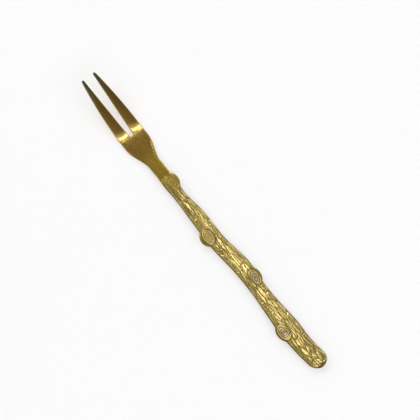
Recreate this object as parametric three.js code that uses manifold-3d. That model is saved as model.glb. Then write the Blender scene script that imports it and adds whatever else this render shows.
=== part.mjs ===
// A slim two-tined fork whose handle is cast as a knotty twig, in millimetres.
// Two pieces: a pressed head (tines, blade, neck and tang) and a cast handle with a socket for the tang.
// The fork lies on its back: +Y runs towards the tine tips, and +Z is up out of the decorated face.
import * as THREE from "three";
import { mergeVertices } from "three/addons/utils/BufferGeometryUtils.js";
import Module from "manifold-3d";

const wasm = await Module();
wasm.setup();

// Head, seen from above, in the order that its lengths follow each other from the tips
const TINE_LENGTH = 30.6;
const BLADE_LENGTH = 4;
const SHOULDER_LENGTH = 12.6;
const NECK_LENGTH = 3.3;
const HEAD_WIDTH = 12;
const NECK_WIDTH = 5.7;
const TINE_SPREAD = 7.2; // over the outer edges of the two tips
const TIP_WIDTH = 1.2; // of one tine, before its tip is rounded
const SLOT_ROOT_WIDTH = 2;

// Head, seen from the side
const SHEET_THICKNESS = 1.3;
const TIP_THICKNESS = 0.9;
const BEND_FROM_ROOT = 2; // the bend lies this far up the tines
const BEND_RADIUS = 18;
const TIP_RISE = 8.15; // of the tips' back over the back of the neck

// Joint: a flat tang brazed into a blind socket
const TANG_LENGTH = 14;
const TANG_WIDTH = 3.2;
const TANG_THICKNESS = 1.3;
const BRAZE_GAP = 0.15; // all round the tang, and between neck and handle

// Handle. Each outline point is [share of the length from the joint, shift to the right, width],
// the last two as shares of the handle's width.
const HANDLE_LENGTH = 109.5;
const HANDLE_WIDTH = 9.2; // at its widest, beside the stubs
const HANDLE_THICKNESS = 3.4;
const THICKENING_LENGTH = 16; // the neck's thickening goes on into the handle this far
const END_RADIUS = 4.3; // of the round end, seen from above
const END_EDGE_RADIUS = 1.9; // of the round end, seen from the side
const OUTLINE = [
  [0, 0, NECK_WIDTH / HANDLE_WIDTH],
  [0.08, -0.022, 0.63],
  [0.126, -0.03, 0.576],
  [0.236, 0.01, 0.746],
  [0.364, -0.014, 0.783],
  [0.514, 0.147, 0.848],
  [0.601, 0.1, 0.743],
  [0.711, 0.065, 0.859],
  [0.797, 0.067, 1],
  [0.889, 0.071, 0.946],
  [1, 0.19, (2 * END_RADIUS) / HANDLE_WIDTH],
];

// Cut branch stubs: share of the handle's length, side, place from the middle line as a share of the
// handle's half width there, and width as a share of the widest stub's
const KNOTS = [
  { along: 0.07, side: 1, out: 0.45, width: 0.88 },
  { along: 0.332, side: -1, out: 0.6, width: 0.96 },
  { along: 0.565, side: 1, out: 0.47, width: 0.9 },
  { along: 0.806, side: -1, out: 0.63, width: 1 },
];
const KNOT_LENGTH = 6.8; // of the rim, along the handle
const KNOT_WIDTH = 4.7; // of the widest stub's rim
const KNOT_RISE = 0.1; // of the middle of the rim over the crown of the handle
const KNOT_HEIGHT = 0.9; // of the rim over the foot
const KNOT_TILT = 0.18; // radians, leaning out over the handle's edge
const KNOT_FLARE = 0.9; // how far the foot stands out past the rim
const KNOT_TAPER = 0.24; // how much the stub narrows below its foot, per millimetre
const KNOT_RIM_WIDTH = 0.4;
const KNOT_RIM_ROUND = 0.15;
const KNOT_RINGS = 3;
const KNOT_RING_DEPTH = 0.16;

// Bark: plates side by side, with a furrow along each side of every plate
const BARK_PLATES = 5;
const BARK_SPAN = 0.78; // share of the handle's width that the plates cover
const BARK_DEPTH = 0.4; // of a furrow at its deepest
const BARK_SHALLOW = 0.14; // of a furrow where it almost closes
const BARK_DIP = 0.18; // of a plate's crown at its lowest
const BARK_PLATE_LENGTH = 11;
const BARK_SWAY = 0.6; // sideways wander of a furrow, as a share of a plate's width
const BARK_SWAY_LENGTH = 23;
const BARK_PHASE_STEP = 0.382; // of a wave, between one furrow and the next
const BARK_FADE = 10; // the bark grows out of the smooth neck, and dies away at the end, over this length

// Section shapes: exponents of a superellipse, from a crowned bar to a flat sheet with soft edges
const CROWN_POWER = 2.5;
const BACK_POWER = 3.5;
const SHEET_POWER = 7;
const EDGE_HEIGHT = 0.42; // where a section is widest, as a share of its thickness
const BACK_FLAT = 1.16; // the back's curve is drawn this much too deep, then cut flat

// How finely the surfaces are divided
const HEAD_STEP = 1.5;
const HANDLE_STEP = 1.1;
const END_STEPS = 7;
const HEAD_ACROSS = 16;
const BACK_ACROSS = 6;
const RIM_ACROSS = [1, 0.985, 0.93];
const KNOT_SEGMENTS = 20;
const KNOT_CURVE_STEPS = 3;

const GOLD = { color: 0xb8923f, metalness: 1 };
const headMetal = new THREE.MeshStandardMaterial({ ...GOLD, roughness: 0.25 });
const handleMetal = new THREE.MeshStandardMaterial({ ...GOLD, roughness: 0.35 });

const SHOULDER_START = TINE_LENGTH + BLADE_LENGTH;
const NECK_START = SHOULDER_START + SHOULDER_LENGTH;
const HEAD_LENGTH = NECK_START + NECK_LENGTH;

const mix = THREE.MathUtils.lerp;
const smooth = THREE.MathUtils.smoothstep;

// The thickness grows evenly from the sheet at the tines' root, through the neck, to the handle's own
function thickness(fromTips) {
  const sheet = mix(TIP_THICKNESS, SHEET_THICKNESS, Math.min(1, fromTips / TINE_LENGTH));
  return mix(sheet, HANDLE_THICKNESS, smooth(fromTips, TINE_LENGTH, HEAD_LENGTH + THICKENING_LENGTH));
}

const NECK_THICKNESS = thickness(HEAD_LENGTH);

// Closed solids from three.js geometry, and back again, for cuts and joins
function toSolid(geometry) {
  const bare = new THREE.BufferGeometry();
  bare.setAttribute("position", geometry.getAttribute("position"));
  bare.setIndex(geometry.getIndex());
  const merged = mergeVertices(bare, 1e-4);
  const corners = merged.getIndex().array;
  const triVerts = [];
  for (let i = 0; i < corners.length; i += 3) {
    const [a, b, c] = corners.slice(i, i + 3);
    if (a !== b && b !== c && c !== a) triVerts.push(a, b, c);
  }
  const vertProperties = merged.getAttribute("position").array;
  const mesh = new wasm.Mesh({ numProp: 3, vertProperties, triVerts: Uint32Array.from(triVerts) });
  return new wasm.Manifold(mesh);
}

function toMesh(name, solid, material) {
  const { vertProperties, triVerts } = solid.getMesh();
  const geometry = new THREE.BufferGeometry();
  geometry.setAttribute("position", new THREE.BufferAttribute(vertProperties, 3));
  geometry.setIndex(new THREE.BufferAttribute(triVerts, 1));
  geometry.computeVertexNormals();
  const mesh = new THREE.Mesh(geometry, material);
  mesh.name = name;
  return mesh;
}

// A closed skin over a row of rings that run from high y to low y, with a fan over each end
function loft(rings) {
  const around = rings[0].length;
  const middleOf = (ring) => ring.reduce((sum, p) => sum.add(p), new THREE.Vector3()).divideScalar(around);
  const points = [...rings.flat(), middleOf(rings[0]), middleOf(rings.at(-1))];
  const [firstMiddle, lastMiddle] = [points.length - 2, points.length - 1];
  const lastRing = (rings.length - 1) * around;
  const faces = [];
  for (let i = 0; i < around; i++) {
    const next = (i + 1) % around;
    for (let ring = 0; ring < lastRing; ring += around) {
      const [a, b, c, d] = [ring + i, ring + next, ring + around + next, ring + around + i];
      faces.push(a, b, c, a, c, d);
    }
    faces.push(firstMiddle, next, i, lastMiddle, lastRing + i, lastRing + next);
  }
  const geometry = new THREE.BufferGeometry().setFromPoints(points);
  geometry.setIndex(faces);
  return geometry;
}

// One ring across the fork, from its right-hand edge over the front to the left and home along the back.
// The front is given as pairs: a place across, from 1 at the right to -1 at the left, and a carved depth.
function section({ y, middle, halfWidth, back, front, frontPower, backPower, carved }) {
  const edge = mix(back, front, EDGE_HEIGHT);
  const swell = (across, power) => (1 - Math.abs(across) ** power) ** (1 / power);
  const ring = carved.map(([across, depth]) => {
    const height = swell(across, frontPower);
    return new THREE.Vector3(middle + across * halfWidth, y, mix(edge, front, height) - depth * height);
  });
  for (let i = 0; i < BACK_ACROSS; i++) {
    const across = -Math.cos((Math.PI * i) / BACK_ACROSS);
    const depth = Math.min(1, BACK_FLAT * swell(across, backPower));
    ring.push(new THREE.Vector3(middle + across * halfWidth, y, mix(edge, back, depth)));
  }
  return ring;
}

// Even stations from one distance to another, no further apart than the step
function stations(from, to, step) {
  const count = Math.ceil((to - from) / step);
  return Array.from({ length: count + 1 }, (_, i) => mix(from, to, i / count));
}

// Distances from a round end that crowd towards it, starting just short of the very end
function endStations(radius) {
  const turns = Array.from({ length: END_STEPS }, (_, i) => ((i + 0.2) / END_STEPS) * (Math.PI / 2));
  return turns.map((turn) => radius * (1 - Math.cos(turn)));
}

// How much a round end takes off an edge, at a distance from that end
function rounding(fromEnd, radius) {
  const inside = Math.max(0, radius - fromEnd);
  return radius - Math.sqrt(radius ** 2 - inside ** 2);
}

// Half the width over the outer edges of tines, blade, shoulders and neck
function headHalfWidth(fromTips) {
  const towardsTip = Math.max(0, 1 - fromTips / TINE_LENGTH);
  const blade = HEAD_WIDTH / 2 - ((HEAD_WIDTH - TINE_SPREAD) / 2) * towardsTip ** 2;
  const narrowing = smooth(fromTips, SHOULDER_START, NECK_START);
  return mix(blade, NECK_WIDTH / 2, narrowing) - rounding(fromTips, TIP_WIDTH / 2);
}

// The back lies flat under the neck and turns up into the tines through one bend.
function headBack(fromTips) {
  const bend = TINE_LENGTH - BEND_FROM_ROOT;
  const slope = TIP_RISE / bend;
  const pastBend = bend - fromTips;
  return (slope / 2) * (pastBend + Math.hypot(pastBend, (BEND_RADIUS * slope) / 2));
}

function headSection(fromTips) {
  const back = headBack(fromTips);
  const intoNeck = smooth(fromTips, SHOULDER_START, HEAD_LENGTH);
  return section({
    y: HEAD_LENGTH - fromTips,
    middle: 0,
    halfWidth: headHalfWidth(fromTips),
    back,
    front: back + thickness(fromTips),
    frontPower: mix(SHEET_POWER, CROWN_POWER, intoNeck),
    backPower: mix(SHEET_POWER, BACK_POWER, intoNeck),
    carved: Array.from({ length: HEAD_ACROSS }, (_, i) => [Math.cos((Math.PI * i) / HEAD_ACROSS), 0]),
  });
}

// The tapering slot between the tines: round at its root, flared where the tips are rounded
function slotCutter() {
  const mouth = TINE_SPREAD / 2 - TIP_WIDTH;
  const root = SLOT_ROOT_WIDTH / 2;
  const tipRadius = TIP_WIDTH / 2;
  const tipMiddle = mouth + tipRadius;
  const tipStart = HEAD_LENGTH - tipRadius;
  const past = HEAD_LENGTH + TIP_WIDTH;
  const outline = new THREE.Shape();
  outline.absarc(0, HEAD_LENGTH - TINE_LENGTH + root, root, Math.PI, 2 * Math.PI, false);
  outline.absarc(tipMiddle, tipStart, tipRadius, Math.PI, Math.PI / 2, true);
  outline.lineTo(tipMiddle, past);
  outline.lineTo(-tipMiddle, past);
  outline.absarc(-tipMiddle, tipStart, tipRadius, Math.PI / 2, 0, true);
  outline.closePath();
  const tall = headBack(0) + HEAD_WIDTH;
  const cutter = new THREE.ExtrudeGeometry(outline, { depth: tall, bevelEnabled: false, curveSegments: 8 });
  return toSolid(cutter.translate(0, 0, -HEAD_WIDTH / 2));
}

// The tang's bar, which starts inside the neck, or with a clearance the socket that takes it
function tangBar(clearance) {
  const length = NECK_LENGTH + TANG_LENGTH + clearance;
  const bar = new THREE.BoxGeometry(TANG_WIDTH + 2 * clearance, length, TANG_THICKNESS + 2 * clearance);
  return toSolid(bar.translate(0, NECK_LENGTH - length / 2, NECK_THICKNESS / 2));
}

function tineHead() {
  const tipRadius = TIP_WIDTH / 2;
  const fromTips = [...endStations(tipRadius), ...stations(tipRadius, HEAD_LENGTH - BRAZE_GAP, HEAD_STEP)];
  const solid = toSolid(loft(fromTips.map(headSection))).subtract(slotCutter()).add(tangBar(0));
  return toMesh("tine_head", solid, headMetal);
}

// The handle's middle line and half width, as smooth curves through the outline's points
const outlineCurve = new THREE.CubicInterpolant(
  OUTLINE.map(([along]) => along * HANDLE_LENGTH),
  OUTLINE.flatMap(([, shift, width]) => [shift * HANDLE_WIDTH, (width * HANDLE_WIDTH) / 2]),
  2,
);
outlineCurve.settings = { endingStart: THREE.ZeroSlopeEnding, endingEnd: THREE.ZeroSlopeEnding };

function handleOutline(behind) {
  const [middle, halfWidth] = outlineCurve.evaluate(behind);
  return { middle, halfWidth };
}

// Places across the front and the depth carved at each: the smooth rim, then furrows and plates in turn
function barkAcross(behind) {
  const grown = smooth(behind, 0, BARK_FADE) * smooth(HANDLE_LENGTH - behind, 0, BARK_FADE);
  const turns = (length, index) => behind / length + index * BARK_PHASE_STEP;
  const wave = (length, index) => 0.5 + 0.5 * Math.sin(2 * Math.PI * turns(length, index));
  const furrow = (index) => {
    const sway = BARK_SWAY * (2 * wave(BARK_SWAY_LENGTH, index) - 1);
    return BARK_SPAN * (1 - (2 * index + sway) / BARK_PLATES);
  };
  const bark = [];
  for (let index = 0; index <= BARK_PLATES; index++) {
    const crown = (furrow(index) + furrow(index + 1)) / 2;
    bark.push([furrow(index), grown * mix(BARK_SHALLOW, BARK_DEPTH, wave(BARK_PLATE_LENGTH, index))]);
    bark.push([crown, grown * BARK_DIP * wave(BARK_PLATE_LENGTH, 2 * index)]);
  }
  bark.pop(); // beyond the last furrow lies the rim, and no plate
  const rightRim = RIM_ACROSS.map((across) => [across, 0]);
  const leftRim = RIM_ACROSS.slice(1).reverse().map((across) => [-across, 0]);
  return [...rightRim, ...bark, ...leftRim];
}

function handleSection(behind) {
  const fromEnd = HANDLE_LENGTH - behind;
  const { middle, halfWidth } = handleOutline(behind);
  return section({
    y: -behind,
    middle,
    halfWidth: halfWidth - rounding(fromEnd, END_RADIUS),
    back: 0,
    front: thickness(HEAD_LENGTH + behind) - rounding(fromEnd, END_EDGE_RADIUS),
    frontPower: CROWN_POWER,
    backPower: BACK_POWER,
    carved: barkAcross(behind),
  });
}

// A cut branch stub: a flared foot, a rounded rim and growth rings on its face, leaning out over the edge
function knot({ along, side, out, width }) {
  const behind = along * HANDLE_LENGTH;
  const { middle, halfWidth } = handleOutline(behind);
  const top = thickness(HEAD_LENGTH + behind) + KNOT_RISE;
  const rimLength = KNOT_LENGTH / 2;
  const rimWidth = (KNOT_WIDTH / 2) * width;
  const rim = (rimLength + rimWidth) / 2;
  const foot = rim + KNOT_FLARE;
  const face = rim - KNOT_RIM_WIDTH;
  const edge = new THREE.Path();
  edge.moveTo(0, -2 * top);
  edge.lineTo(foot - KNOT_TAPER * (2 * top - KNOT_HEIGHT), -2 * top);
  edge.lineTo(foot, -KNOT_HEIGHT);
  edge.quadraticCurveTo(rim, -KNOT_HEIGHT, rim, -KNOT_RIM_ROUND);
  edge.quadraticCurveTo(rim, 0, rim - KNOT_RIM_ROUND, 0);
  edge.lineTo(face, 0);
  const profile = edge.getPoints(KNOT_CURVE_STEPS);
  for (let ring = KNOT_RINGS; ring > 0; ring--) {
    const pitch = face / (KNOT_RINGS + 0.5);
    profile.push(new THREE.Vector2(ring * pitch, -1.5 * KNOT_RING_DEPTH));
    profile.push(new THREE.Vector2((ring - 0.5) * pitch, -0.5 * KNOT_RING_DEPTH));
  }
  profile.push(new THREE.Vector2(0, -KNOT_RING_DEPTH));
  const stub = new THREE.LatheGeometry(profile, KNOT_SEGMENTS);
  stub.rotateX(Math.PI / 2);
  stub.scale(rimWidth / rim, rimLength / rim, 1);
  stub.rotateY(side * KNOT_TILT);
  stub.translate(middle + side * out * halfWidth, -behind, top);
  return toSolid(stub);
}

function barkHandle() {
  const straight = stations(BRAZE_GAP / 2, HANDLE_LENGTH - END_RADIUS, HANDLE_STEP);
  const roundEnd = endStations(END_RADIUS).reverse().map((fromEnd) => HANDLE_LENGTH - fromEnd);
  let solid = toSolid(loft([...straight, ...roundEnd].map(handleSection)));
  for (const stub of KNOTS) solid = solid.add(knot(stub));
  const ground = new THREE.BoxGeometry(HANDLE_LENGTH, 3 * HANDLE_LENGTH, HANDLE_LENGTH);
  solid = solid.subtract(toSolid(ground.translate(0, 0, -HANDLE_LENGTH / 2))).subtract(tangBar(BRAZE_GAP));
  return toMesh("bark_handle", solid, handleMetal);
}

const fork = new THREE.Group();
fork.add(tineHead(), barkHandle());

// Centre the fork over the origin, with its back on the ground.
const bounds = new THREE.Box3().setFromObject(fork);
const centre = bounds.getCenter(new THREE.Vector3());
for (const piece of fork.children) piece.geometry.translate(-centre.x, -centre.y, -bounds.min.z);

export default fork;
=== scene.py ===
import math
from collections import namedtuple

import bmesh
import bpy
import numpy as np
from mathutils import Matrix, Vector


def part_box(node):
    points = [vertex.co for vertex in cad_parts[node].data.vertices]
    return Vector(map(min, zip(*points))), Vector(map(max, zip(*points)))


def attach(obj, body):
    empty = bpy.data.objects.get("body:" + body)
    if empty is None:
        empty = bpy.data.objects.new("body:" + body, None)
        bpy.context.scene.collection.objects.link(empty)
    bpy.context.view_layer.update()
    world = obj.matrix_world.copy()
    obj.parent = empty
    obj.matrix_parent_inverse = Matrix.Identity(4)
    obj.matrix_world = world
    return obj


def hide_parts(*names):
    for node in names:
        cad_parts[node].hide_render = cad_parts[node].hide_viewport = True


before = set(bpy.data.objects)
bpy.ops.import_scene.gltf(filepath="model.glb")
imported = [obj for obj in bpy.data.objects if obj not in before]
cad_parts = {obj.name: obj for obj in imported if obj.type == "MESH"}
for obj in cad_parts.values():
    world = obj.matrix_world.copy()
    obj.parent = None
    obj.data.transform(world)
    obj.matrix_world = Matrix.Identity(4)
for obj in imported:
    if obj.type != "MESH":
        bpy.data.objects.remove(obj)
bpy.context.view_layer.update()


# The head: two tapered tines, the blade they spring from, the shoulders and the smooth neck.
# It is one pressing of polished sheet in a gold colour, bent up where the tines begin.
# A flat tang behind the neck is brazed into the handle.
MM = 0.001
head_low, head_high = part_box("tine_head")
handle_low, handle_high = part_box("bark_handle")
BRAZE_GAP = 0.15 * MM
SEAM = 0.01 * MM  # left between the two pieces on each side of the joint
JOINT_Y = handle_high.y + BRAZE_GAP / 2
TIPS_Y = head_high.y
HEAD_LENGTH = TIPS_Y - JOINT_Y
HEAD_WIDTH = head_high.x - head_low.x
TINE_LENGTH = 30.6 * MM
SHOULDER_START = 34.6 * MM  # from the tips
NECK_START = 47.2 * MM  # from the tips
NECK_WIDTH = 5.7 * MM
TINE_SPREAD = 7.2 * MM  # over the outer edges of the two tips
TIP_WIDTH = 1.2 * MM
TIP_RADIUS = TIP_WIDTH / 2
SLOT_RADIUS = 1 * MM
SLOT_CENTRE = TINE_LENGTH - SLOT_RADIUS
SHEET_THICKNESS = 1.3 * MM
TIP_THICKNESS = 0.9 * MM
HANDLE_THICKNESS = 3.4 * MM
THICKENING_LENGTH = 16 * MM  # behind the joint
TIP_RISE = 8.135 * MM
BEND_PLACE = 28.6 * MM  # from the tips
BEND_RADIUS = 13.5 * MM
SHEET_EDGE = 0.28 * MM  # radius of the sheet's softened edges
TINE_CROWN = 0.09  # slope across a tine's front at its edges
CROWN_FADE = 26 * MM  # from the tips, where that crown begins to run out
SHEET_POWER = 2  # the sheet's edges are round
NECK_POWER = 5  # the neck is flatter across than the handle
BACK_POWER = 3.5
BACK_FLAT = 1.16  # cuts the back's curve off flat
EDGE_HEIGHT = 0.42  # of the line where front and back meet, as a share of the thickness
TANG_LENGTH = 14 * MM
TANG_WIDTH = 3.2 * MM
TANG_THICKNESS = 1.3 * MM
TIP_ROWS = 9
TINE_ROWS = 110
ROOT_ROWS = 12
NECK_ROWS = 90
HEAD_COLUMNS = 26
MERGE_DISTANCE = 0.001 * MM


def blend(low, high, share):
    return low + (high - low) * share


def ease(value, start, end):
    """Rises smoothly from 0 at start to 1 at end."""
    share = np.clip((value - start) / (end - start), 0, 1)
    return share * share * (3 - 2 * share)


def rounding(from_end, radius):
    """How much a round end takes off an edge, at a distance from that end."""
    inside = np.clip(radius - from_end, 0, radius)
    return radius - np.sqrt(radius**2 - inside**2)


def swell(from_edge, reach, power):
    """Rises from 0 at an edge to 1 at its reach, round like a superellipse."""
    short = np.clip(1 - from_edge / reach, 0, 1)
    return (1 - short**power) ** (1 / power)


def thickness(from_tips):
    """Grows evenly from the sheet at the tines' root, through the neck, to the handle's own."""
    sheet = blend(TIP_THICKNESS, SHEET_THICKNESS, np.clip(from_tips / TINE_LENGTH, 0, 1))
    return blend(sheet, HANDLE_THICKNESS, ease(from_tips, TINE_LENGTH, HEAD_LENGTH + THICKENING_LENGTH))


def crowded(count):
    """Places from 0 to 1 that crowd towards both ends."""
    return 0.5 - 0.5 * np.cos(np.pi * np.arange(count + 1) / count)


def head_rows():
    """Distances from the tips, closest together at the tips and at the slot's root."""
    tip = TIP_RADIUS * (1 - np.cos(np.linspace(0, np.pi / 2, TIP_ROWS)))
    tines = np.linspace(TIP_RADIUS, SLOT_CENTRE, TINE_ROWS)
    root = SLOT_CENTRE + SLOT_RADIUS * np.sin(np.linspace(0, np.pi / 2, ROOT_ROWS))
    neck = np.linspace(TINE_LENGTH, HEAD_LENGTH - SEAM, NECK_ROWS)
    return np.unique(np.concatenate([tip, tines, root, neck]))[:, None]


def bent_back(from_tips):
    """Height of the sheet's back: flat behind the bend, and rising evenly to the tips before it."""
    slope = TIP_RISE / BEND_PLACE
    past_bend = BEND_PLACE - from_tips
    return slope / 2 * (past_bend + np.hypot(past_bend, BEND_RADIUS * slope / 2))


def tine_head_grids():
    """Front and back of the head's right half as grids of points, and how near an edge each point is."""
    from_tips = head_rows()
    towards_tip = np.clip(1 - from_tips / TINE_LENGTH, 0, 1)
    outer = HEAD_WIDTH / 2 - (HEAD_WIDTH - TINE_SPREAD) / 2 * towards_tip**2
    outer = blend(outer, NECK_WIDTH / 2, ease(from_tips, SHOULDER_START, NECK_START))
    outer = outer - rounding(from_tips, TIP_RADIUS)
    down_slot = np.clip((from_tips - TIP_RADIUS) / (SLOT_CENTRE - TIP_RADIUS), 0, 1)
    inner = blend(TINE_SPREAD / 2 - TIP_WIDTH, SLOT_RADIUS, down_slot)
    inner = inner + rounding(from_tips, TIP_RADIUS) - rounding(TINE_LENGTH - from_tips, SLOT_RADIUS)
    x = blend(inner, outer, crowded(HEAD_COLUMNS))
    y = TIPS_Y - from_tips + 0 * x

    around_root = np.hypot(x, from_tips - SLOT_CENTRE) - SLOT_RADIUS
    to_slot = np.where(from_tips < SLOT_CENTRE, x - inner, around_root)
    slot_edge = swell(np.maximum(to_slot, 0), SHEET_EDGE, SHEET_POWER)
    into_neck = ease(from_tips, SHOULDER_START, HEAD_LENGTH)
    reach = blend(SHEET_EDGE, outer, into_neck)
    front = slot_edge * swell(outer - x, reach, blend(SHEET_POWER, NECK_POWER, into_neck))
    back = swell(outer - x, reach, blend(SHEET_POWER, BACK_POWER, into_neck))
    back = slot_edge * np.minimum(1, blend(1, BACK_FLAT, into_neck) * back)

    across_tine = 2 * crowded(HEAD_COLUMNS) - 1
    run_out = np.where(across_tine < 0, TINE_LENGTH, SHOULDER_START)
    crown = TINE_CROWN * (1 - ease(from_tips, CROWN_FADE, run_out))
    low = bent_back(from_tips)
    high = low + thickness(from_tips) - crown * (outer - inner) / 4 * across_tine**2
    edge = blend(low, high, EDGE_HEIGHT)
    grids = [np.stack([x, y, blend(edge, face, share)], -1) for face, share in ((high, front), (low, back))]
    return grids, [1 - front, 1 - back]


def add_grid(mesh, points):
    """Adds a sheet of quads over a grid of points, and returns the grid's vertices."""
    vertices = [[mesh.verts.new(point) for point in row] for row in points]
    for upper, lower in zip(vertices, vertices[1:]):
        for i in range(len(upper) - 1):
            mesh.faces.new((upper[i], upper[i + 1], lower[i + 1], lower[i]))
    return vertices


def add_bar(mesh, clearance, near_y, far_y):
    """Adds the sides and the far end of the tang, or of its socket, in the middle of the neck's thickness."""
    corners = [(1, 1), (-1, 1), (-1, -1), (1, -1)]
    half_width = TANG_WIDTH / 2 + clearance
    half_height = TANG_THICKNESS / 2 + clearance
    middle = float(thickness(HEAD_LENGTH)) / 2
    places = [(side * half_width, middle + up * half_height) for side, up in corners]
    near, far = [[mesh.verts.new((x, y, z)) for x, z in places] for y in (near_y, far_y)]
    for i in range(len(corners)):
        mesh.faces.new((near[i - 1], near[i], far[i], far[i - 1]))
    mesh.faces.new(far)


def close_joint(mesh):
    """Fills the flat face at the joint, between the skin and the bar, with sharp corners all round."""
    rims = [edge for edge in mesh.edges if edge.is_boundary]
    for edge in rims:
        edge.smooth = False
    bmesh.ops.triangle_fill(mesh, edges=rims, use_beauty=True)
    bmesh.ops.recalc_face_normals(mesh, faces=mesh.faces)


def finished_object(name, mesh):
    data = bpy.data.meshes.new(name)
    mesh.to_mesh(data)
    mesh.free()
    data.shade_smooth()
    made = bpy.data.objects.new(name, data)
    bpy.context.scene.collection.objects.link(made)
    return made


def mark_vertices(vertices, layer, values):
    """Stores a grid of values in one layer of the vertices of the same grid."""
    for row, row_values in zip(vertices, values):
        for vertex, value in zip(row, row_values):
            vertex[layer] = value


skin = bmesh.new()
edge_layer = skin.verts.layers.float.new("edge")
for grid, nearness in zip(*tine_head_grids()):
    for side in (1, -1):
        mark_vertices(add_grid(skin, grid * (side, 1, 1)), edge_layer, nearness)
bmesh.ops.remove_doubles(skin, verts=skin.verts, dist=MERGE_DISTANCE)
add_bar(skin, 0, JOINT_Y + SEAM, JOINT_Y - TANG_LENGTH)
close_joint(skin)
tine_head = finished_object("polished_tine_head", skin)


class Wire:
    """One output of a node. Sums and products of wires add their own Math nodes to the tree."""

    def __init__(self, tree, socket=None):
        self.tree = tree
        self.socket = socket

    def node(self, kind, settings=None, sockets=None, output=0):
        made = self.tree.nodes.new(kind)
        for name, value in (settings or {}).items():
            setattr(made, name, value)
        for key, value in (sockets or {}).items():
            if isinstance(value, Wire):
                self.tree.links.new(value.socket, made.inputs[key])
            else:
                made.inputs[key].default_value = value
        return Wire(self.tree, made.outputs[output] if made.outputs else None)

    def out(self, name):
        return Wire(self.tree, self.socket.node.outputs[name])

    def math(self, operation, *values):
        return self.node("ShaderNodeMath", {"operation": operation}, dict(enumerate(values)))

    def mark(self, name):
        """A value that the mesh itself holds at each point."""
        return self.node("ShaderNodeAttribute", {"attribute_name": name}).out("Fac")

    def axis(self, name):
        return self.node("ShaderNodeSeparateXYZ", None, {0: self}).out(name)

    def step(self, start, end):
        """Rises smoothly from 0 where this value is at start to 1 at end."""
        ends = {"Value": self, "From Min": start, "From Max": end}
        return self.node("ShaderNodeMapRange", {"interpolation_type": "SMOOTHSTEP"}, ends)

    def noise(self, scale, detail=2):
        return self.node("ShaderNodeTexNoise", None, {"Vector": self, "Scale": scale, "Detail": detail})

    def stretched(self, *scale):
        """The same coordinates, scaled differently along each axis."""
        return self.node("ShaderNodeVectorMath", {"operation": "MULTIPLY"}, {0: self, 1: scale})

    def __add__(self, other):
        return self.math("ADD", self, other)

    def __sub__(self, other):
        return self.math("SUBTRACT", self, other)

    def __mul__(self, other):
        return self.math("MULTIPLY", self, other)

    def __truediv__(self, other):
        return self.math("DIVIDE", self, other)

    def __rsub__(self, other):
        return self.math("SUBTRACT", other, self)

    __radd__ = __add__
    __rmul__ = __mul__


def colour_mix(base, other, share):
    """The first colour where the share is 0, the second where it is 1."""
    sockets = {0: share, 6: base, 7: other}
    return share.node("ShaderNodeMix", {"data_type": "RGBA"}, sockets, output=2)


def new_material(name):
    material = bpy.data.materials.new(name)
    material.use_nodes = True
    material.node_tree.nodes.clear()
    return material, Wire(material.node_tree)


GRAZING = (0.5, 0.4, 0.25, 1)  # tint of the metal seen edge on


def finish_material(wire, colour, roughness, height, depth):
    """Ends a metal's tree: colour, roughness and a fine relief of the given depth in metres."""
    bump = wire.node("ShaderNodeBump", None, {"Strength": 1, "Distance": depth, "Height": height})
    shown = {"Base Color": colour, "Roughness": roughness, "Normal": bump}
    shown.update({"Metallic": 1, "Specular Tint": GRAZING})
    shader = wire.node("ShaderNodeBsdfPrincipled", None, shown)
    wire.node("ShaderNodeOutputMaterial", None, {"Surface": shader})


GOLD = (0.87, 0.61, 0.18, 1)
# Painted shade: a darker gold on the tines, for the dark surroundings they mirror.
SHADED_TINE_GOLD = (0.58, 0.41, 0.125, 1)
# Painted shade: a darker, greyer colour in clouds towards the tips, for the dark surroundings they mirror as
# they rise.
PAINTED_TIP_SHADE = (0.24, 0.34, 0.28, 1)
# Painted shade along the sheet's edges, for the dark surroundings they mirror.
PAINTED_EDGE_SHADE = (0.34, 0.24, 0.08, 1)
# Painted shade on the flanks of the neck and of the handle.
PAINTED_FLANK_SHADE = (0.13, 0.1, 0.028, 1)
NECK_GOLD = (0.94, 0.655, 0.112, 1)
SHADE_START = 27 * MM  # from the tips, where the painted shade of the tines begins
SHADE_END = 11 * MM  # from the tips
# Where the painted shade at the tips lies, and how it varies in clouds:
TIP_SHADE_START = 14 * MM  # from the tips
TIP_SHADE_PAST = 3.5 * MM  # it would be full only this far past the tips
TIP_SHADE_LEAST = 0.6  # between the clouds
TIP_SHADE_CLOUDS = 0.8
NECK_SATIN = 21 * MM  # ahead of the joint, where the polish turns satin
EDGE_DARKENING = (0.03, 0.5)  # nearness to an edge, from where its painted shade begins to where it is darkest
FLANK_DARKENING = (0.08, 0.3)  # the same for the painted shade on the neck's flanks
FLANK_SHARE = 0.7
HAIR_LINES = (5000, 160, 5000)  # to a metre: close across the sheet, drawn out along it
HAIR_DETAIL = 3
HAIR_DEPTH = 0.002 * MM
SHEET_CLOUDS = 140  # to a metre
SHEET_ROUGHNESS = 0.1
HAIR_ROUGHNESS = 0.06
CLOUD_ROUGHNESS = 0.05
SATIN_ROUGHNESS = 0.06


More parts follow.
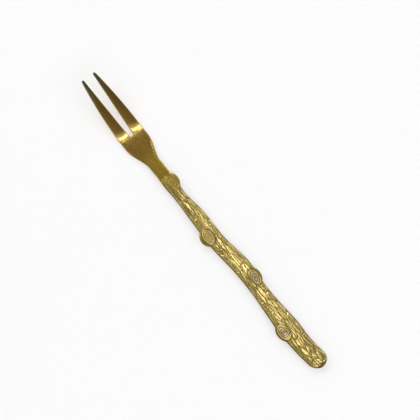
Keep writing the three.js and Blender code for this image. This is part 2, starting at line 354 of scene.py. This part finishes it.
def polished_gold():
    """Polished sheet with hair-fine lines, satin at the neck, with painted shade on the tines, the tips and
    the edges.
    """
    material, wire = new_material("polished_gold")
    place = wire.node("ShaderNodeTexCoord").out("Object")
    lines = place.stretched(*HAIR_LINES).noise(1, HAIR_DETAIL)
    clouds = place.noise(SHEET_CLOUDS)
    along = place.axis("Y")
    edge = wire.mark("edge")
    neck = along.step(JOINT_Y + NECK_SATIN, JOINT_Y)
    # Painted shade towards the tips, in clouds.
    tip_shade = along.step(TIPS_Y - TIP_SHADE_START, TIPS_Y + TIP_SHADE_PAST)
    tip_shade = tip_shade * (TIP_SHADE_LEAST + TIP_SHADE_CLOUDS * clouds)
    # Painted shade over the tines.
    colour = colour_mix(GOLD, SHADED_TINE_GOLD, along.step(TIPS_Y - SHADE_START, TIPS_Y - SHADE_END))
    colour = colour_mix(colour, PAINTED_TIP_SHADE, tip_shade)
    colour = colour_mix(colour, NECK_GOLD, neck)
    # Painted shade along the edges.
    colour = colour_mix(colour, PAINTED_EDGE_SHADE, edge.step(*EDGE_DARKENING))
    # Painted shade on the neck's flanks.
    colour = colour_mix(colour, PAINTED_FLANK_SHADE, FLANK_SHARE * neck * edge.step(*FLANK_DARKENING))
    roughness = SHEET_ROUGHNESS + HAIR_ROUGHNESS * lines + CLOUD_ROUGHNESS * clouds + SATIN_ROUGHNESS * neck
    finish_material(wire, colour, roughness, lines, HAIR_DEPTH)
    return material


tine_head.data.materials.append(polished_gold())
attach(tine_head, "root")
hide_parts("tine_head")


# The handle: a solid casting in the form of a knotty twig, flat on its back and round at its end.
# Bark covers its front between two smooth rims, and four branch stubs are cut off slanting, with
# growth rings on their faces. It is gold-coloured like the head, with dark patina and painted shade
# in the bark's furrows, and painted shade on its flanks and round the stubs' faces.
HANDLE_LENGTH = JOINT_Y - handle_low.y
HANDLE_WIDTH = 9.2 * MM
END_RADIUS = 4.3 * MM
END_EDGE_RADIUS = 1.9 * MM
CROWN_POWER = 2.5
OUTLINE = [  # share of the length from the joint, shift to the right and width in shares of the width
    (0, 0, NECK_WIDTH / HANDLE_WIDTH),
    (0.08, -0.022, 0.63),
    (0.126, -0.03, 0.576),
    (0.236, 0.01, 0.746),
    (0.364, -0.014, 0.783),
    (0.514, 0.147, 0.848),
    (0.601, 0.1, 0.743),
    (0.711, 0.065, 0.859),
    (0.797, 0.067, 1),
    (0.889, 0.071, 0.946),
    (1, 0.19, 2 * END_RADIUS / HANDLE_WIDTH),
]
# A stub lies at a share of the handle's length, on its right (1) or left (-1), out by a share of the
# half width. Its width is a share of the widest one's. It flares out at the handle's edge, where the
# bulge leans towards the tips, and its face is tilted outwards.
Knot = namedtuple("Knot", "share side out width flare lean tilt")
KNOTS = [
    Knot(0.075, 1, 0.39, 0.88, 1.1 * MM, 1.2 * MM, 0.18),
    Knot(0.333, -1, 0.53, 0.96, 1.25 * MM, 0.2 * MM, 0.07),
    Knot(0.569, 1, 0.44, 0.9, 1.15 * MM, 0.85 * MM, 0.18),
    Knot(0.807, -1, 0.67, 1, 0.5 * MM, 0.3 * MM, 0.18),
]
KNOT_LENGTH = 7 * MM
KNOT_WIDTH = 4.7 * MM
KNOT_RISE = 0.1 * MM
KNOT_FLARE_ALONG = 0.65 * MM
KNOT_WALL = 1.7  # steepness of a stub's side
KNOT_SHOULDER = 0.3 * MM  # softness of the edge between a stub's face and its side
KNOT_BLEND = 0.18 * MM  # softness of the line where a stub meets the handle
KNOT_RIM = 0.22 * MM
KNOT_PROUD = 2 * THICKENING_LENGTH  # behind the joint, from where the stubs stand fully proud
BULGE_REACH = 2.4  # of a stub's bulge at the handle's edge, in half lengths of the stub
RING_PITCH = 0.7 * MM
RING_DEPTH = 0.2 * MM
RING_POWER = 3  # makes the rings' ridges narrower than the hollows between them
RING_STRETCH = 0.3  # draws the inner rings out along the handle
RING_WAVES = [(2, 0.12, 400), (3, 0.08, 900)]  # waves to a turn, their height, phase to a metre
GROOVE_DEPTH = 0.09 * MM
GROOVE_WIDTH = 0.25 * MM
FRONT_COLUMNS = 100
BACK_COLUMNS = 14
EVEN_SHARE = 0.6  # of the front's columns being evenly spaced, against crowding at its edges
PLAIN_STEP = 0.2 * MM
KNOT_STEP = 0.12 * MM
KNOT_MARGIN = 0.7  # the closer steps reach this share of a stub's length from its middle
END_ROWS = 40


def outline_at(behind, column):
    """A smooth curve through one column of the outline, level at both ends."""
    places = np.array([point[0] for point in OUTLINE]) * HANDLE_LENGTH
    values = np.array([point[column] for point in OUTLINE]) * HANDLE_WIDTH
    slopes = np.gradient(values, places)
    slopes[0] = slopes[-1] = 0
    i = np.clip(np.searchsorted(places, behind) - 1, 0, len(places) - 2)
    span = places[i + 1] - places[i]
    t = (behind - places[i]) / span
    start = (1 + 2 * t) * (1 - t) ** 2 * values[i] + t * (1 - t) ** 2 * span * slopes[i]
    end = t**2 * (3 - 2 * t) * values[i + 1] - t**2 * (1 - t) * span * slopes[i + 1]
    return start + end


def soft_max(a, b, softness):
    return (a + b + np.sqrt((a - b) ** 2 + softness**2)) / 2


def fade(value, limits):
    """Falls smoothly from 1 at the first limit to 0 at the second."""
    return 1 - ease(value, *limits)


def bell(distance, width):
    return np.exp(-((distance / width) ** 2))


def handle_rows():
    """Distances behind the joint, closer together over the stubs and at the round end."""
    middles = [knot.share * HANDLE_LENGTH for knot in KNOTS]
    rows = [SEAM]
    while rows[-1] < HANDLE_LENGTH - END_RADIUS:
        near_knot = any(abs(rows[-1] - middle) < KNOT_LENGTH * KNOT_MARGIN for middle in middles)
        rows.append(rows[-1] + (KNOT_STEP if near_knot else PLAIN_STEP))
    turns = np.linspace(0, np.pi / 2, END_ROWS)[1:]
    straight = HANDLE_LENGTH - rows[-1]
    return np.concatenate([rows, HANDLE_LENGTH - straight * (1 - np.sin(turns))])[:, None]


def knot_reach(knot):
    """Half the width and half the length of a stub's face."""
    return KNOT_WIDTH * knot.width / 2, KNOT_LENGTH / 2


def handle_sides(behind, middle, half):
    """The left and right edges, bulging round the stubs, and each stub's centre across the handle."""
    edges = {1: half, -1: half}
    centres = []
    for knot in KNOTS:
        wide, long = knot_reach(knot)
        from_knot = behind - knot.share * HANDLE_LENGTH
        row = np.argmin(abs(from_knot))
        centre = middle[row, 0] + knot.side * knot.out * half[row, 0]
        centres.append(centre)
        along = np.clip(abs(from_knot + knot.lean) / (long + KNOT_FLARE_ALONG), 0, 1)
        bulge = knot.side * (centre - middle) + (wide + knot.flare) * np.sqrt(1 - along**2)
        near = ease(long * BULGE_REACH - abs(from_knot), 0, long)
        plain = edges[knot.side]
        edges[knot.side] = blend(plain, soft_max(plain, bulge, 2 * KNOT_BLEND), near)
    return middle - edges[-1], middle + edges[1], centres


def growth_rings(p, q, place, wide):
    """Ridges from 0 to 1 round the middle of a stub's face, drawn out along the handle and uneven."""
    turn = np.arctan2(q, p)
    drawn_out = 1 + RING_STRETCH * np.clip(1 - np.hypot(p, q), 0, 1)
    uneven = 1 + sum(height * np.sin(waves * turn + phase * place) for waves, height, phase in RING_WAVES)
    grown = np.hypot(p * drawn_out, q) * uneven * wide
    return (0.5 + 0.5 * np.cos(2 * np.pi * grown / RING_PITCH)) ** RING_POWER


# What follows is where the bark, the painted shade on the flanks, the worn patches and the stubs' finish lie.
# Across the handle they are shares of the half width, and at a stub shares of its face's radius.
BARK_RIGHT = (0.88, 0.97)
BARK_LEFT = (0.82, 0.94)
BARK_START = (3 * MM, 7.5 * MM)  # behind the joint
BARK_END = (0.1 * MM, 0.9 * MM)  # from the round end
# Painted shade darkens the flanks and the round end, less near the joint.
FLANK_ACROSS = (0.87, 0.97)
FLANK_END = (0.5 * MM, 2.2 * MM)  # from the round end
FLANK_AT_JOINT = 0.7
FLANK_DARKEST = 9 * MM  # behind the joint
WORN = [  # share of the length where the bark is worn bright, and how far that reaches along
    (0.265, 4 * MM),
    (0.46, 8 * MM),
    (0.72, 5 * MM),
]
WORN_ACROSS = (0.4, 0.9)
RIM_INSIDE = -0.06  # about the line between the rings and the rim
RIM_OUTSIDE = 0.02
LIP_EDGE = (0.97, 1.05)
LIP_SHINE = 0.6
HEART_EDGE = (0.5, 0.95)
HEARTS_FROM = 45 * MM  # behind the joint; the stubs past it have stained hearts
# A ring of painted shade just outside each stub's face:
MOAT_PLACE = 1.1
MOAT_WIDTH = 0.24 * MM
MOAT_AT_JOINT = 0.4
GROOVE_PLACE = 1.18
GROOVE_FADE = 0.2  # from the handle's edge inwards
STUB_FADE = 0.05  # from the handle's edge inwards
STUB_FOOT = (1.6, 2)
BARE_ROUND_STUB = (1.05, 1.16)
BARE_OUTWARDS = (0.1, 0.5)
BARE_REACH = (1.5, 1.9)
# share of the painted flank shade on a stub's bare outer side
BARE_FLANK = 0.25
GRAIN_BEND = 0.6  # how far the grain is pushed aside by a stub
GRAIN_CORE = 0.9


def raise_stub(knot, centre, behind, across, x, z, top, marks):
    """Sets one stub on the front, adds its marks and returns the front's new heights."""
    place = knot.share * HANDLE_LENGTH
    wide, long = knot_reach(knot)
    size = (wide + long) / 2
    p = (x - centre) / wide
    q = (behind - place) / long
    r = np.hypot(p, q)
    inwards = 1 - abs(across)
    proud = ease(place, 0, KNOT_PROUD)
    level = top + proud * (KNOT_RISE - knot.tilt * knot.side * (x - centre))
    rings = growth_rings(p, q, place, wide)
    rim = 1 - KNOT_RIM / size
    on_face = 1 - ease(r, rim + RIM_INSIDE, rim + RIM_OUTSIDE)
    cut = level - on_face * RING_DEPTH * (1 - rings)
    wall = level - KNOT_WALL * soft_max((r - 1) * size, 0, KNOT_SHOULDER)
    groove = proud * GROOVE_DEPTH * bell((r - GROOVE_PLACE) * size, GROOVE_WIDTH)
    z = z - groove * ease(inwards, 0, GROOVE_FADE)
    near = fade(r, STUB_FOOT) * ease(inwards, 0, STUB_FADE)

    lip = fade(r, LIP_EDGE)
    bare = ease(knot.side * p, *BARE_OUTWARDS) * fade(r, BARE_REACH)
    stained = ease(place, HEARTS_FROM, HEARTS_FROM + KNOT_LENGTH)
    # Painted shade in a ring just outside the face.
    moat = blend(MOAT_AT_JOINT, 1, proud) * bell((r - MOAT_PLACE) * size, MOAT_WIDTH)
    ridge = np.where(on_face > 0.5, on_face * rings, LIP_SHINE * lip)
    marks["bark"] = marks["bark"] * ease(r, *BARE_ROUND_STUB) * (1 - bare)
    marks["face"] = np.maximum(marks["face"], lip)
    marks["ridge"] = np.maximum(marks["ridge"], ridge)
    marks["heart"] = np.maximum(marks["heart"], stained * fade(r, HEART_EDGE))
    # A stub's bare outer side takes some of the flanks' painted shade.
    marks["flank"] = np.maximum(marks["flank"], BARE_FLANK * bare)
    marks["moat"] = np.maximum(marks["moat"], moat)
    marks["grain"][..., 0] -= (x - centre) * GRAIN_BEND / np.maximum(r, GRAIN_CORE) ** 2
    return blend(z, soft_max(z, np.minimum(cut, wall), KNOT_BLEND), near)


def plain_marks(behind, across, x, middle):
    """What the bark and the metal need to know at each point of the front, before the stubs are set."""
    from_end = HANDLE_LENGTH - behind
    bark = fade(across, BARK_RIGHT) * fade(-across, BARK_LEFT)
    bark = bark * ease(behind, *BARK_START) * ease(from_end, *BARK_END)
    # Painted shade on the flanks and round the end, lighter near the joint.
    flank = np.maximum(ease(abs(across), *FLANK_ACROSS), fade(from_end, FLANK_END))
    flank = flank * blend(FLANK_AT_JOINT, 1, ease(behind, 0, FLANK_DARKEST))
    worn = sum(bell(behind - share * HANDLE_LENGTH, reach) for share, reach in WORN)
    return {
        "grain": np.stack([x - middle, behind + 0 * x, 0 * x], -1),
        "bark": bark,
        "worn": worn * fade(abs(across), WORN_ACROSS),
        "face": 0 * x,
        "ridge": 0 * x,
        "heart": 0 * x,
        "flank": flank,
        "moat": 0 * x,
    }


def handle_grids():
    """Front and back of the handle as grids of points, and the marks at each point in front."""
    behind = handle_rows()
    from_end = HANDLE_LENGTH - behind
    middle = outline_at(behind, 1)
    half = outline_at(behind, 2) / 2 - rounding(from_end, END_RADIUS)
    left, right, centres = handle_sides(behind, middle, half)
    top = thickness(HEAD_LENGTH + behind) - rounding(from_end, END_EDGE_RADIUS)
    edge = top * EDGE_HEIGHT

    even = np.linspace(-1, 1, FRONT_COLUMNS + 1)
    across = blend(np.sin(np.pi / 2 * even), even, EVEN_SHARE)
    x = blend(left, right, (across + 1) / 2)
    y = JOINT_Y - behind + 0 * x
    power = blend(NECK_POWER, CROWN_POWER, ease(behind, 0, THICKENING_LENGTH))
    z = blend(edge, top, swell(1 - abs(across), 1, power))
    marks = plain_marks(behind, across, x, middle)
    for knot, centre in zip(KNOTS, centres):
        z = raise_stub(knot, centre, behind, across, x, z, top, marks)
    front = np.stack([x, y, z], -1)

    across = np.linspace(-1, 1, BACK_COLUMNS + 1)
    depth = np.minimum(1, BACK_FLAT * swell(1 - abs(across), 1, BACK_POWER))
    x = blend(left, right, (across + 1) / 2)
    back = np.stack([x, JOINT_Y - behind + 0 * x, blend(edge, 0, depth)], -1)
    return front, back, marks


front, back, marks = handle_grids()
skin = bmesh.new()
layers = {}
for name in marks:
    kind = skin.verts.layers.float_vector if name == "grain" else skin.verts.layers.float
    layers[name] = kind.new(name)
vertices = add_grid(skin, front)
for name, layer in layers.items():
    mark_vertices(vertices, layer, marks[name])
# The back's outer edges take the full painted shade of the flanks.
for row in add_grid(skin, back):
    for vertex in row[:1] + row[-1:]:
        vertex[layers["flank"]] = 1
bmesh.ops.remove_doubles(skin, verts=skin.verts, dist=MERGE_DISTANCE)
add_bar(skin, BRAZE_GAP, JOINT_Y - SEAM, JOINT_Y - TANG_LENGTH - BRAZE_GAP)
close_joint(skin)
bark_handle = finished_object("cast_bark_handle", skin)


# Dark patina in the furrows, with painted shade there too.
FURROW = (0.165, 0.11, 0.014, 1)
PLATE = (0.93, 0.755, 0.285, 1)
DULL_PLATE = (0.7, 0.535, 0.185, 1)
RIM = (0.52, 0.405, 0.1, 1)
KNOT_FACE = (0.34, 0.25, 0.085, 1)
KNOT_LINE = (0.95, 0.765, 0.31, 1)
HEART_FACE = (0.3, 0.215, 0.112, 1)
HEART_LINE = (0.86, 0.67, 0.365, 1)
DARK_FACE = (0.19, 0.118, 0.016, 1)
DARK_LINE = (0.84, 0.61, 0.165, 1)
DARK_SHARE = 0.9
DARK_FROM = 30 * MM  # behind the joint; the stub nearest to it has the dark face
DARK_TO = 8 * MM
CASTING_FROM = 1 * MM  # behind the joint, where the neck's satin gold gives way to the casting
CASTING_TO = 9 * MM
# Strength of the painted shade round the stubs' faces.
MOAT_SHARE = 0.95
FURROW_LEAST = 0.75  # between the clouds
FURROW_CLOUDS = 0.3
CAST_CLOUDS = 400  # to a metre
CAST_CLOUD_DETAIL = 3
CAST_GRAIN = 6000  # to a metre
CAST_GRAIN_DEPTH = 0.004 * MM
CAST_ROUGHNESS = 0.15
CAST_CLOUD_ROUGHNESS = 0.1
PLATE_DULLING = 0.05
RIM_DULLING = 0.08
FURROW_DULLING = 0.25
FACE_DULLING = 0.1
FLANK_DULLING = 0.1


def cast_gold():
    """Cast metal, polished on the plates of the bark and duller on rims and stubs, with patina and
    painted shade in the furrows and painted shade on the flanks and round the stubs' faces.
    """
    material, wire = new_material("cast_gold")
    place = wire.node("ShaderNodeTexCoord").out("Object")
    clouds = place.noise(CAST_CLOUDS, CAST_CLOUD_DETAIL)
    along = place.axis("Y")
    casting = along.step(JOINT_Y - CASTING_FROM, JOINT_Y - CASTING_TO)
    dark = along.step(JOINT_Y - DARK_FROM, JOINT_Y - DARK_TO)
    bark = wire.mark("bark")
    furrow = wire.mark("furrow")
    flank = wire.mark("flank")
    face = wire.mark("face")
    heart = wire.mark("heart")
    colour = colour_mix(PLATE, DULL_PLATE, wire.mark("plate"))
    colour = colour_mix(colour, RIM, 1 - bark)
    colour = colour_mix(NECK_GOLD, colour, casting)
    # Painted shade on the flanks.
    colour = colour_mix(colour, PAINTED_FLANK_SHADE, flank)
    colour = colour_mix(colour, colour_mix(KNOT_FACE, HEART_FACE, heart), face)
    colour = colour_mix(colour, DARK_FACE, DARK_SHARE * face * dark)
    line = colour_mix(colour_mix(KNOT_LINE, HEART_LINE, heart), DARK_LINE, dark)
    colour = colour_mix(colour, line, face * wire.mark("ridge"))
    # Painted shade round the stubs' faces.
    colour = colour_mix(colour, FURROW, MOAT_SHARE * wire.mark("moat"))
    # Patina and painted shade in the furrows.
    colour = colour_mix(colour, FURROW, furrow * (FURROW_LEAST + FURROW_CLOUDS * clouds))
    dulling = PLATE_DULLING + RIM_DULLING * (1 - bark) + FURROW_DULLING * furrow
    dulling = dulling + FACE_DULLING * face + FLANK_DULLING * flank
    roughness = CAST_ROUGHNESS + CAST_CLOUD_ROUGHNESS * clouds + casting * dulling
    finish_material(wire, colour, roughness, place.noise(CAST_GRAIN), CAST_GRAIN_DEPTH)
    return material


BARK_SIZES = {
    "Plate Width": 1.1 * MM,
    "Plate Length": 6.2 * MM,
    "Furrow Depth": 0.3 * MM,
    "Furrow Width": 0.2 * MM,
    "Wander": 0.7 * MM,
    "Relief": 0.12 * MM,
    "Tilt": 0.04,
    "Ripple": 0.05 * MM,
}
DRIFT = (260, 90, 1)  # waves to a metre, across and along the grain
FINE_DRIFT = (900, 420, 1)
FINE_DRIFT_SHARE = 0.5
RIPPLES = (500, 400, 1)
WORN_NARROWING = 0.45  # of the furrows where the bark is worn
WORN_FILLING = 0.35
TILT_BIAS = 0.7  # below 1, so that more plates rise towards the end than fall
DULL_DRAW = (0.45, 0.95)  # a plate's random draw, from where it is dull to where it is dullest


def bark_tree():
    """Carves the bark: plates drawn out along the grain, furrows between them, and a little relief."""
    tree = bpy.data.node_groups.new("bark_carving", "GeometryNodeTree")
    tree.interface.new_socket("Geometry", in_out="OUTPUT", socket_type="NodeSocketGeometry")
    tree.interface.new_socket("Geometry", in_out="INPUT", socket_type="NodeSocketGeometry")
    kinds = {**dict.fromkeys(BARK_SIZES, "NodeSocketFloat"), "Metal": "NodeSocketMaterial"}
    names = {}
    for name, kind in kinds.items():
        names[name] = tree.interface.new_socket(name, in_out="INPUT", socket_type=kind).identifier
    wire = Wire(tree)
    given = wire.node("NodeGroupInput")
    plate_width = given.out("Plate Width")
    plate_length = given.out("Plate Length")
    wander = given.out("Wander")
    grain = wire.node("GeometryNodeInputNamedAttribute", {"data_type": "FLOAT_VECTOR"}, {"Name": "grain"})
    bark = wire.node("GeometryNodeInputNamedAttribute", None, {"Name": "bark"})
    worn = wire.node("GeometryNodeInputNamedAttribute", None, {"Name": "worn"})

    drift = 2 * grain.stretched(*DRIFT).noise(1, 1) - 1
    fine_drift = 2 * grain.stretched(*FINE_DRIFT).noise(1, 1) - 1
    across = grain.axis("X") + wander * drift + FINE_DRIFT_SHARE * wander * fine_drift
    behind = grain.axis("Y")
    place = wire.node("ShaderNodeCombineXYZ", None, {"X": across / plate_width, "Y": behind / plate_length})
    flat = {"voronoi_dimensions": "2D"}
    to_edge = {**flat, "feature": "DISTANCE_TO_EDGE"}
    cell = wire.node("ShaderNodeTexVoronoi", flat, {"Vector": place, "Scale": 1})
    gap = wire.node("ShaderNodeTexVoronoi", to_edge, {"Vector": place, "Scale": 1})
    furrow_width = given.out("Furrow Width") / plate_width * (1 - WORN_NARROWING * worn)
    furrow = (1 - gap.step(0, furrow_width)) * (1 - WORN_FILLING * worn)

    draw = cell.out("Color")
    along = behind - cell.out("Position").axis("Y") * plate_length
    ripple = 2 * grain.stretched(*RIPPLES).noise(1) - 1
    height = given.out("Relief") * (draw.axis("X") - 0.5) + given.out("Ripple") * ripple
    height = height + given.out("Tilt") * (2 * draw.axis("Y") - TILT_BIAS) * along
    height = bark * (height - given.out("Furrow Depth") * furrow)
    normal = wire.node("GeometryNodeInputNormal")
    offset = wire.node("ShaderNodeVectorMath", {"operation": "SCALE"}, {0: normal, "Scale": height})
    made = wire.node("GeometryNodeSetPosition", None, {"Geometry": given.out("Geometry"), "Offset": offset})
    kept = {"furrow": bark * furrow, "plate": bark * draw.axis("Z").step(*DULL_DRAW)}
    for name, value in kept.items():
        stored = {"Geometry": made, "Name": name, "Value": value}
        made = wire.node("GeometryNodeStoreNamedAttribute", None, stored)
    made = wire.node("GeometryNodeRealizeInstances", None, {0: made})
    made = wire.node("GeometryNodeSetMaterial", None, {"Geometry": made, "Material": given.out("Metal")})
    wire.node("NodeGroupOutput", None, {0: made})
    return tree, names


tree, names = bark_tree()
carving = bark_handle.modifiers.new("bark", "NODES")
carving.node_group = tree
for name, value in {**BARK_SIZES, "Metal": cast_gold()}.items():
    carving[names[name]] = value
carved = bark_handle.evaluated_get(bpy.context.evaluated_depsgraph_get())
uncarved = bark_handle.data
bark_handle.data = bpy.data.meshes.new_from_object(carved)
bark_handle.modifiers.clear()
bpy.data.meshes.remove(uncarved)
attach(bark_handle, "root")
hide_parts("bark_handle")


# The studio: a pale round floor that rises into a low wall, and soft boxes round it. Two wide ones stand
# in line with the fork, each dim in its lower half and bright in its upper. A strip overhead draws the
# bright band over the bend, a dim panel lies beside it, and two weak boxes stand at the sides.
FLOOR_RADIUS = 1.6
WALL_HEIGHT = 0.5
WALL_CURVE = 0.35
FLOOR_DROP = 0.02 * MM  # below the fork's back
CURVE_STEPS = 13
FLOOR_SIDES = 64
FLOOR_MERGE = 0.01 * MM
PALE = (0.96, 0.96, 0.96, 1)
LESS_PALE = (0.94, 0.94, 0.94, 1)
FLOOR_CLOUDS = 3  # to a metre
WHITE = (1, 1, 1, 1)
SHADOW_FADE = 0.45  # how far the white backdrop washes the fork's shadow out


def pale_floor():
    material, wire = new_material("pale_floor")
    place = wire.node("ShaderNodeTexCoord").out("Object")
    colour = colour_mix(PALE, LESS_PALE, place.noise(FLOOR_CLOUDS))
    lit = wire.node("ShaderNodeBsdfDiffuse", None, {"Color": colour})
    glow = wire.node("ShaderNodeEmission", None, {"Color": WHITE, "Strength": 1})
    ray = wire.node("ShaderNodeLightPath")
    seen = ray.math("MAXIMUM", ray.out("Is Camera Ray"), ray.out("Is Glossy Ray"))
    shader = wire.node("ShaderNodeMixShader", None, {0: SHADOW_FADE * seen, 1: lit, 2: glow})
    wire.node("ShaderNodeOutputMaterial", None, {"Surface": shader})
    return material


profile = [(0, 0)]
for turn in np.linspace(0, np.pi / 2, CURVE_STEPS):
    profile.append((FLOOR_RADIUS + WALL_CURVE * math.sin(turn), WALL_CURVE * (1 - math.cos(turn))))
profile.append((FLOOR_RADIUS + WALL_CURVE, WALL_HEIGHT))
bowl = bmesh.new()
line = [bowl.verts.new((radius, 0, height - FLOOR_DROP)) for radius, height in profile]
edges = [bowl.edges.new(pair) for pair in zip(line, line[1:])]
full_turn = {"cent": (0, 0, 0), "axis": (0, 0, 1), "angle": 2 * math.pi, "steps": FLOOR_SIDES}
bmesh.ops.spin(bowl, geom=line + edges, use_merge=True, **full_turn)
bmesh.ops.remove_doubles(bowl, verts=bowl.verts, dist=FLOOR_MERGE)
bmesh.ops.recalc_face_normals(bowl, faces=bowl.faces)
floor = finished_object("floor", bowl)
floor.data.materials.append(pale_floor())

LAMP_COLOUR = (0.985, 1, 1.045)


def soft_box(name, place, width, height, radiance, tilt=0, turn=0):
    """A rectangular lamp of an even brightness, facing down, tilted about X and then turned about Z."""
    lamp = bpy.data.lights.new(name, "AREA")
    lamp.shape = "RECTANGLE"
    lamp.size = width
    lamp.size_y = height
    lamp.energy = radiance * math.pi * width * height
    lamp.color = LAMP_COLOUR
    box = bpy.data.objects.new(name, lamp)
    box.location = place
    box.rotation_euler = (tilt, 0, turn)
    box.visible_camera = False
    bpy.context.scene.collection.objects.link(box)


BOX_TILT = math.radians(56)
BOX_OUT = 0.995  # of the middle of a wide box, from the fork along Y
BOX_UP = 0.671
HALF_HEIGHT = 0.35  # of the lower and of the upper half, measured up the tilted box
LOWER_RADIANCE = 1
HALF_OUT = HALF_HEIGHT / 2 * math.cos(BOX_TILT)
HALF_UP = HALF_HEIGHT / 2 * math.sin(BOX_TILT)
for name, side, width, upper_radiance in (("front", -1, 2.8, 4.45), ("rear", 1, 2.2, 3.75)):
    tilt = -side * BOX_TILT
    low = (0, side * (BOX_OUT + HALF_OUT), BOX_UP - HALF_UP)
    high = (0, side * (BOX_OUT - HALF_OUT), BOX_UP + HALF_UP)
    soft_box(name + "_low_box", low, width, HALF_HEIGHT, LOWER_RADIANCE, tilt)
    soft_box(name + "_high_box", high, width, HALF_HEIGHT, upper_radiance, tilt)

STRIP_TURN = math.radians(17)
STRIP_PLACE = (0.08, 0.129, 1)
PANEL_PLACE = (0.08, -0.021, 1)
soft_box("overhead_strip", STRIP_PLACE, width=1, height=0.107, radiance=3.1, turn=STRIP_TURN)
soft_box("overhead_panel", PANEL_PLACE, width=1, height=0.193, radiance=0.36, turn=STRIP_TURN)

SIDE_TURN = math.radians(106)
SIDE_SIZE = {"width": 0.7, "height": 0.5, "tilt": BOX_TILT}
soft_box("right_box", (1.15, 0.32, 0.62), radiance=0.7, turn=SIDE_TURN, **SIDE_SIZE)
soft_box("left_box", (-1.15, 0.32, 0.82), radiance=0.3, turn=-SIDE_TURN, **SIDE_SIZE)

AMBIENT = (0.125, 0.1, 0.06, 1)
world = bpy.data.worlds.new("studio")
world.use_nodes = True
world.node_tree.nodes["Background"].inputs["Color"].default_value = AMBIENT
bpy.context.scene.world = world
bpy.context.scene.view_settings.view_transform = "Standard"


# The camera: high above the fork, at the photograph's angle, and aimed a little past its middle
# so that it lies in the square picture where the photograph has it.
AZIMUTH = math.radians(-38)
ELEVATION = math.radians(75)
CAMERA_DISTANCE = 0.9
FIELD = 179.1 * MM  # width of the view at the fork
PICTURE = 420  # pixels across
PIXEL = FIELD / PICTURE
AIM_RIGHT = 7.7 * PIXEL
AIM_UP = 13.6 * PIXEL
level = math.cos(ELEVATION)
out = Vector((math.sin(AZIMUTH) * level, -math.cos(AZIMUTH) * level, math.sin(ELEVATION)))
camera_data = bpy.data.cameras.new("camera")
camera_data.lens = camera_data.sensor_width * CAMERA_DISTANCE / FIELD
camera = bpy.data.objects.new("camera", camera_data)
facing = out.to_track_quat("Z", "Y")
aim = facing @ Vector((AIM_RIGHT, AIM_UP, 0))
camera.location = aim + out * CAMERA_DISTANCE
camera.rotation_euler = facing.to_euler()
bpy.context.scene.collection.objects.link(camera)
bpy.context.scene.camera = camera
